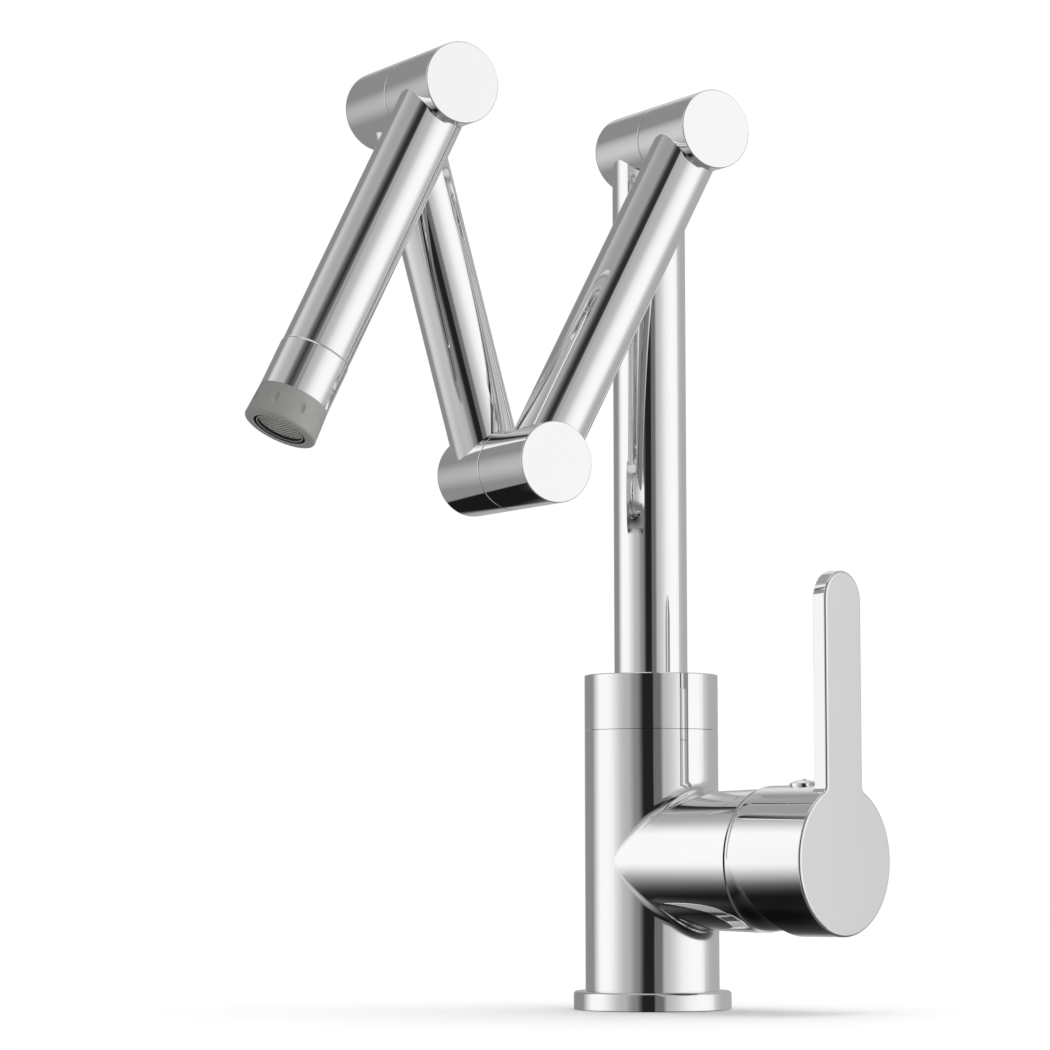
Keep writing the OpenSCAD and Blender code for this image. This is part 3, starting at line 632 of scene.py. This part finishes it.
@dataclass
class SwivelHub:
    """One hub of the folding arms: two chromed halves on a hollow pivot.

    Args:
        name: the hub's name in the frame, such as hub_a.
    """

    name: str

    def dress(self, wardrobe: Wardrobe) -> None:
        """Dresses the halves, their caps and the pivot's pieces.

        Args:
            wardrobe: what holds the finishes.
        """
        halves = ("back", "back_cap", "front", "front_cap")
        wardrobe.dress([f"{self.name}_{half}" for half in halves], Slot.CHROME)
        wardrobe.dress([f"{self.name}_pivot"], Slot.BRASS)
        wardrobe.dress([f"{self.name}_o_rings"], Slot.RUBBER)
        wardrobe.dress([f"{self.name}_washer"], Slot.ACETAL)
        wardrobe.dress([f"{self.name}_clip"], Slot.STEEL)


@dataclass
class Arms:
    """The tubes between the hubs."""

    chrome: tuple[str, ...] = ("arm_1_tube", "arm_2_tube", "spout_tube")

    def dress(self, wardrobe: Wardrobe) -> None:
        """Dresses the tubes."""
        wardrobe.dress(self.chrome, Slot.CHROME)


@dataclass(frozen=True)
class Recess:
    """Where painted shade darkens one grey piece of the aerator.

    Args:
        node: the piece.
        colour: its colour at the face, sRGB hex.
        sunk: how far its face lies inside the grey ring's lip.
        depth: how deep below the face the painted shade is full.
        reach: the radius within which its recesses lie.
    """

    node: str
    colour: str
    sunk: float
    depth: float
    reach: float


@dataclass
class Outlet:
    """The collar at the spout's end and the aerator in it.

    Args:
        chrome: the collar.
        rubber: the aerator's washer.
        recesses: the grey pieces and the painted shade in them.
        hinge: the joint that the spout tube turns on.
        tube_offset: distance of the tube's axis from the arms' own plane, to the front.
        lean: the tube's angle at rest from hanging straight down, in degrees.
        tube_len: length of the tube from its hub's axis.
        collar_len: length of the collar.
        ring_len: length of the aerator's grey ring.
        skin: how far below its face a piece is still free of painted shade.
    """

    chrome: tuple[str, ...] = ("outlet_collar",)
    rubber: tuple[str, ...] = ("aerator_washer",)
    recesses: tuple[Recess, ...] = (
        Recess("aerator_housing", "#989895", sunk=0.0, depth=0.08, reach=12.6),
        Recess("flow_straightener", "#989895", sunk=0.3, depth=0.2, reach=12.0),
        Recess("spray_screen", "#B8B8B4", sunk=1.4, depth=0.1, reach=9.0),
    )
    hinge: str = "hub_c_hinge"
    tube_offset: float = 31.4
    lean: float = 27.0
    tube_len: float = 113.5
    collar_len: float = 18.9
    ring_len: float = 12.4
    skin: float = 0.06

    def axis(self) -> tuple[Vector, Vector]:
        """Finds the spout tube's axis at rest.

        Returns:
            Its point beside the hub, in metres, and the way that the tube runs.
        """
        joint = next(joint for joint in frame["joints"] if joint["name"] == self.hinge)
        across = Vector(joint["axis"])
        lean = math.radians(self.lean)
        heading = UP.cross(across) * math.sin(lean) - UP * math.cos(lean)
        return Vector(joint["pos_m"]) - across * self.tube_offset * MM, heading

    def recessed(self, recess: Recess) -> PaintedShadeFinish:
        """Makes the grey finish of one piece of the aerator, with painted shade in its recesses.

        Args:
            recess: where painted shade darkens the piece.

        Returns:
            The finish.
        """
        plain = replace(
            MOULDED_GREY, name=f"{MOULDED_GREY.name}_{recess.node}", colour=recess.colour
        )
        start, heading = self.axis()
        lip = self.tube_len + self.collar_len + self.ring_len
        return PaintedShadeFinish(
            **asdict(plain),
            start=tuple(start),
            heading=tuple(heading),
            face_mm=lip - recess.sunk - self.skin,
            depth_mm=recess.depth,
            reach_mm=recess.reach,
        )

    def dress(self, wardrobe: Wardrobe) -> None:
        """Dresses the collar and the aerator.

        Args:
            wardrobe: what holds the finishes.
        """
        wardrobe.dress(self.chrome, Slot.CHROME)
        wardrobe.dress(self.rubber, Slot.RUBBER)
        # each grey piece gets painted shade in its recesses
        for recess in self.recesses:
            wardrobe.dress([recess.node], Slot.GREY, self.recessed(recess).build())


@dataclass(frozen=True)
class Panel:
    """One soft-edged patch of the light tent, such as a soft box or a dark gap.

    Args:
        name: what it is in the studio.
        turn: azimuths of its two sides in degrees, positive to the picture's right
            of the lens and 180 behind the object.
        side_blur: half the width of each side's soft edge, in degrees.
        rise: elevations of its lower and upper edge, in degrees.
        edge_blur: half the width of those edges' softness, in degrees.
        tone: its colour, sRGB hex.
    """

    name: str
    turn: tuple[float, float]
    side_blur: tuple[float, float]
    rise: tuple[float, float]
    edge_blur: tuple[float, float]
    tone: str

    @staticmethod
    def edge(
        tree: bpy.types.NodeTree, value: bpy.types.NodeSocket, low: float, high: float
    ) -> bpy.types.NodeSocket:
        """Builds one soft edge.

        Args:
            tree: the nodes that it joins.
            value: what it lies across, such as an angle in degrees.
            low: the value at which it is 0.
            high: the value at which it is 1.

        Returns:
            The edge, from 0 to 1.
        """
        return add_node(
            tree,
            "MapRange",
            {"Value": value, "From Min": low, "From Max": high},
            interpolation_type="SMOOTHSTEP",
        ).outputs["Result"]

    def cover(
        self, tree: bpy.types.NodeTree, turn: bpy.types.NodeSocket, rise: bpy.types.NodeSocket
    ) -> bpy.types.NodeSocket:
        """Finds how much of the panel lies at a place.

        Args:
            tree: the nodes that it joins.
            turn: the place's azimuth in degrees.
            rise: the place's elevation in degrees.

        Returns:
            The share, from 0 outside the panel to 1 inside.
        """
        middle = sum(self.turn) / 2
        away = add_node(
            tree, "Math", {0: turn, 1: middle + 180, 2: middle - 180}, operation="WRAP"
        ).outputs[0]
        (left, right), (soft_left, soft_right) = self.turn, self.side_blur
        (foot, head), (soft_foot, soft_head) = self.rise, self.edge_blur
        cover = self.edge(tree, away, left - soft_left, left + soft_left)
        for angle, low, high in (
            (away, right + soft_right, right - soft_right),
            (rise, foot - soft_foot, foot + soft_foot),
            (rise, head + soft_head, head - soft_head),
        ):
            edge = self.edge(tree, angle, low, high)
            cover = add_node(tree, "Math", {0: cover, 1: edge}, operation="MULTIPLY").outputs[0]
        return cover

    def over(
        self,
        tree: bpy.types.NodeTree,
        turn: bpy.types.NodeSocket,
        rise: bpy.types.NodeSocket,
        below: bpy.types.NodeSocket | tuple[float, float, float, float],
    ) -> bpy.types.NodeSocket:
        """Lays the panel over what is behind it.

        Args:
            tree: the world's nodes.
            turn: the direction's azimuth in degrees.
            rise: the direction's elevation in degrees.
            below: the colour behind the panel.

        Returns:
            The colour with the panel.
        """
        cover = self.cover(tree, turn, rise)
        return add_node(
            tree,
            "Mix",
            {"Factor": cover, MIX_FIRST: below, MIX_SECOND: linear(self.tone)},
            data_type="RGBA",
            label=self.name,
        ).outputs[MIX_RESULT]


@dataclass(frozen=True)
class Card:
    """A level black card near the tap, seen from above only and in polished metal only.

    Args:
        patch: its outline. Its turn is in mm towards the lens and its rise in mm to
            the picture's right.
        level: its height in mm.
        half_sheet: half the side of the clear sheet that carries it, in mm. It is
            under 180, where the patch's first number wraps.
    """

    patch: Panel
    level: float
    half_sheet: float = 179.0

    def mesh(self, facing: float) -> bpy.types.Mesh:
        """Builds the card's sheet.

        Args:
            facing: the angle of the camera's direction from x, in radians.

        Returns:
            A square with its face up.
        """
        turn = Matrix.Rotation(facing, 3, "Z")
        middle = Vector((sum(self.patch.turn) / 2, sum(self.patch.rise) / 2, self.level))
        ends = (-self.half_sheet, self.half_sheet)
        rows = [[turn @ (middle + Vector((u, v, 0))) * MM for u in ends] for v in ends]
        return grid_mesh(f"studio_{self.patch.name}", rows, closed=False)

    def paint(self, facing: float) -> bpy.types.Material:
        """Builds the card's black, clear outside the outline and from below.

        Args:
            facing: the angle of the camera's direction from x, in radians.

        Returns:
            The new material.
        """
        material = bpy.data.materials.new(f"card_matt_black_{self.patch.name}")
        tree = empty_tree(material)
        place = add_node(
            tree,
            "VectorRotate",
            {"Vector": add_node(tree, "TexCoord").outputs["Object"], "Angle": -facing},
            rotation_type="Z_AXIS",
        ).outputs["Vector"]
        in_mm = add_node(
            tree, "VectorMath", {0: place, "Scale": 1 / MM}, operation="SCALE"
        ).outputs["Vector"]
        parts = add_node(tree, "SeparateXYZ", {"Vector": in_mm}).outputs
        under = add_node(tree, "NewGeometry").outputs["Backfacing"]
        top = add_node(tree, "Math", {0: 1.0, 1: under}, operation="SUBTRACT").outputs[0]
        cover = self.patch.cover(tree, parts["X"], parts["Y"])
        shown = add_node(tree, "Math", {0: cover, 1: top}, operation="MULTIPLY").outputs[0]
        clear = add_node(tree, "BsdfTransparent").outputs["BSDF"]
        black = add_node(
            tree, "Emission", {"Color": linear(self.patch.tone), "Strength": 1.0}
        ).outputs["Emission"]
        shell = add_node(tree, "MixShader", {0: shown, 1: clear, 2: black})
        add_node(tree, "OutputMaterial", {"Surface": shell.outputs["Shader"]})
        return material

    def build(self, facing: float) -> None:
        """Lays the card.

        Args:
            facing: the angle of the camera's direction from x, in radians.
        """
        mesh = self.mesh(facing)
        mesh.materials.append(self.paint(facing))
        card = put(mesh.name, mesh)
        card.visible_camera = False
        card.visible_diffuse = False
        card.visible_transmission = False
        card.visible_shadow = False
        log.info("laid %s at %g mm", mesh.name, self.level)


@dataclass
class Studio:
    """Camera, light tent, cards and floor.

    The metal is lit as in a product shot: a white tent with a soft box at each
    side and a dark gap for the lens, whose reflection draws the black stripe
    down each tube. The floor and the background are plain white.

    Args:
        room: the tent's colour where no panel hangs.
        panels: what hangs in the tent, each over those before it.
        table: the colour that soft light brings up from below.
        horizon: elevations in degrees between which soft light turns from the
            table's to the tent's.
        weaker_side: where soft light on matt pieces is weaker, and its colour there.
        spread: how much stronger soft light is than the tent's mean.
        cards: the black cards near the tap; the low one is a painted reflection of shade.
        floor_size: side of the floor.
        floor_cells: squares along that side.
        focal: the lens's focal length.
        sensor: the sensor's width.
        near_clip: how near the camera sees, in metres.
        distance: the lens's level distance from the tap's axis.
        height: the lens's height above the deck.
        azimuth: the lens's place round the tap from -y, in degrees.
        yaw: how far the view turns from the tap's axis, in degrees.
        pitch: how far it looks up, in degrees.
        roll: how far it leans, in degrees.
    """

    room: str = "#AEAEAF"
    # Each row: name, turn, side_blur, rise, edge_blur, tone.
    panels: tuple[Panel, ...] = (
        Panel("back wall, left", (-166, -119), (12, 5), (-110, 48), (2, 6), "#8D8D8E"),
        Panel("backdrop, high", (172, 190), (8, 9), (22, 70), (8, 8), "#E8E8E8"),
        Panel("left box's spill", (-100, -33), (12, 9), (-110, 51), (2, 6), "#B6B6B7"),
        Panel("front wall, left", (-34, -15), (8, 2), (-110, 56), (2, 6), "#868688"),
        Panel("left soft box", (-109.5, -63), (12.5, 20), (-15, 40), (15, 9), WHITE),
        Panel("right wall", (17, 120), (4, 18), (-110, 60), (2, 2), "#B6B6B7"),
        Panel("right soft box's spill", (38, 103), (22, 18), (-40, 20), (9, 14), "#EEEEEE"),
        Panel("right soft box", (56, 97), (20, 11), (-30, 32), (9, 12), WHITE),
        Panel("stand beside the lens", (5, 18), (2, 4), (-110, 31), (2, 7), "#6E6E70"),
        Panel("gap for the lens", (-19, 5), (6, 3), (-110, 35), (2, 6), "#212123"),
        Panel("roof", (-200, 200), (1, 1), (49, 110), (6, 5), "#9C9C9D"),
        Panel("lens gap in the roof", (-22, 8), (14, 3), (35, 66), (6, 8), "#2E2E30"),
        Panel("floor, right", (10, 200), (5, 10), (-110, -22), (5, 10), "#7C7C7D"),
        Panel("dark table by the left box", (-112, -66), (10, 12), (-110, -24), (5, 23), "#19191A"),
        Panel("floor", (-200, 200), (1, 1), (-110, -50), (5, 10), "#8C8C8D"),
        Panel("roof light", (-200, 200), (1, 1), (68, 110), (8, 5), "#D7D7D8"),
    )
    table: str = "#EEEEEE"
    horizon: tuple[float, float] = (-30.0, 0.0)
    weaker_side: Panel = Panel(
        "soft light from the left", (-160, -10), (60, 40), (-110, 60), (1, 20), "#787878"
    )
    spread: float = 2.8
    cards: tuple[Card, ...] = (
        Card(Panel("flag", (-105, 20), (25, 25), (-153, -55), (5, 25), "#19191A"), level=128.0),
        # painted reflection of shade: the foot card lies under the white floor and shows only in
        # polished metal, darkening the floor's reflection round the tap's foot
        Card(Panel("foot", (-60, 120), (85, 85), (-80, 100), (85, 85), "#0E0E0F"), level=-25.0),
    )
    floor_size: float = 3000.0
    floor_cells: int = 8
    focal: float = 123.43
    sensor: float = 36.0
    near_clip: float = 0.01
    distance: float = 1380.81
    height: float = 56.42
    azimuth: float = 39.48
    yaw: float = -2.0
    pitch: float = 5.32
    roll: float = -0.11

    def facing(self) -> float:
        """Gives the camera's direction from x, counter-clockwise from above, in radians."""
        return math.radians(self.azimuth - 90)

    def camera(self) -> None:
        """Sets the camera where the photograph was taken from."""
        yaw, pitch, roll = (math.radians(a) for a in (self.yaw, self.pitch, self.roll))
        ahead = Vector(
            (math.sin(yaw) * math.cos(pitch), math.cos(yaw) * math.cos(pitch), math.sin(pitch))
        )
        right = Vector((math.cos(yaw), -math.sin(yaw), 0))
        up = right.cross(ahead)
        axes = Matrix(
            (
                right * math.cos(roll) + up * math.sin(roll),
                up * math.cos(roll) - right * math.sin(roll),
                -ahead,
            )
        ).transposed()
        data = bpy.data.cameras.new("photo_camera")
        data.lens = self.focal
        data.sensor_width = self.sensor
        data.clip_start = self.near_clip
        camera = put("photo_camera", data)
        turn = Matrix.Rotation(math.radians(self.azimuth), 4, "Z")
        stand = Matrix.Translation(Vector((0, -self.distance, self.height)) * MM)
        camera.matrix_world = turn @ stand @ axes.to_4x4()
        bpy.context.scene.camera = camera

    def angles(
        self, tree: bpy.types.NodeTree
    ) -> tuple[bpy.types.NodeSocket, bpy.types.NodeSocket]:
        """Finds the way that the light comes from.

        Args:
            tree: the world's nodes.

        Returns:
            Its azimuth from the lens and its elevation, both in degrees.
        """
        way = add_node(tree, "TexCoord").outputs["Generated"]
        direction = add_node(
            tree, "VectorRotate", {"Vector": way, "Angle": -self.facing()}, rotation_type="Z_AXIS"
        ).outputs["Vector"]
        parts = add_node(tree, "SeparateXYZ", {"Vector": direction}).outputs
        round_axis = {0: parts["Y"], 1: parts["X"]}
        turn = add_node(tree, "Math", round_axis, operation="ARCTAN2").outputs[0]
        rise = add_node(tree, "Math", {0: parts["Z"]}, operation="ARCSINE").outputs[0]
        turn, rise = (
            add_node(tree, "Math", {0: angle}, operation="DEGREES").outputs[0]
            for angle in (turn, rise)
        )
        return turn, rise

    def tent(self) -> None:
        """Builds the world: white to the eye and the floor, the tent to polished metal."""
        world = bpy.data.worlds.new("light_tent")
        tree = empty_tree(world)
        turn, rise = self.angles(tree)
        hung = linear(self.room)
        for panel in self.panels:
            hung = panel.over(tree, turn, rise, hung)
        strong = add_node(
            tree,
            "VectorMath",
            {0: self.weaker_side.over(tree, turn, rise, hung), "Scale": self.spread},
            operation="SCALE",
        ).outputs[0]
        above = Panel.edge(tree, rise, *self.horizon)
        soft = add_node(
            tree,
            "Mix",
            {"Factor": above, MIX_FIRST: linear(self.table), MIX_SECOND: strong},
            data_type="RGBA",
        ).outputs[MIX_RESULT]
        rays = add_node(tree, "LightPath").outputs
        lit = add_node(
            tree,
            "Mix",
            {"Factor": rays["Is Diffuse Ray"], MIX_FIRST: linear(WHITE), MIX_SECOND: soft},
            data_type="RGBA",
        ).outputs[MIX_RESULT]
        seen = add_node(
            tree,
            "Mix",
            {"Factor": rays["Is Glossy Ray"], MIX_FIRST: lit, MIX_SECOND: hung},
            data_type="RGBA",
        ).outputs[MIX_RESULT]
        light = add_node(tree, "Background", {"Color": seen, "Strength": 1.0})
        add_node(tree, "OutputWorld", {"Surface": light.outputs["Background"]})
        bpy.context.scene.world = world
        log.info("hung %d panels in the tent", len(self.panels))

    def floor(self) -> None:
        """Lays the white floor, which keeps the object's shadow."""
        half = self.floor_size / 2 * MM
        stops = [half * (2 * i / self.floor_cells - 1) for i in range(self.floor_cells + 1)]
        rows = [[Vector((x, y, 0)) for x in stops] for y in stops]
        mesh = grid_mesh("studio_floor", rows, closed=False)
        material = bpy.data.materials.new("paper_sweep_white")
        tree = empty_tree(material)
        paper = add_node(tree, "BsdfDiffuse", {"Color": linear(WHITE)})
        add_node(tree, "OutputMaterial", {"Surface": paper.outputs["BSDF"]})
        mesh.materials.append(material)
        floor = put(mesh.name, mesh)
        floor.visible_glossy = False
        floor.visible_diffuse = False
        log.info("laid %s, %g mm wide", mesh.name, self.floor_size)

    def build(self) -> None:
        """Builds the whole studio."""
        self.camera()
        self.tent()
        self.floor()
        for card in self.cards:
            card.build(self.facing())
        bpy.context.scene.view_settings.view_transform = "Standard"


def main() -> None:
    """Builds the studio and the object, sub-assembly by sub-assembly."""
    logging.basicConfig(level=logging.INFO, format="%(message)s")
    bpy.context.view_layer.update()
    wardrobe = Wardrobe()
    Studio().build()
    BaseMount().dress(wardrobe)
    ValveBody().dress(wardrobe)
    Cartridge().dress(wardrobe)
    LeverHandle().dress(wardrobe)
    Swivel().dress(wardrobe)
    for name in ("hub_a", "hub_b", "hub_c"):
        SwivelHub(name).dress(wardrobe)
    Arms().dress(wardrobe)
    Outlet().dress(wardrobe)


if __name__ == "__main__":
    main()
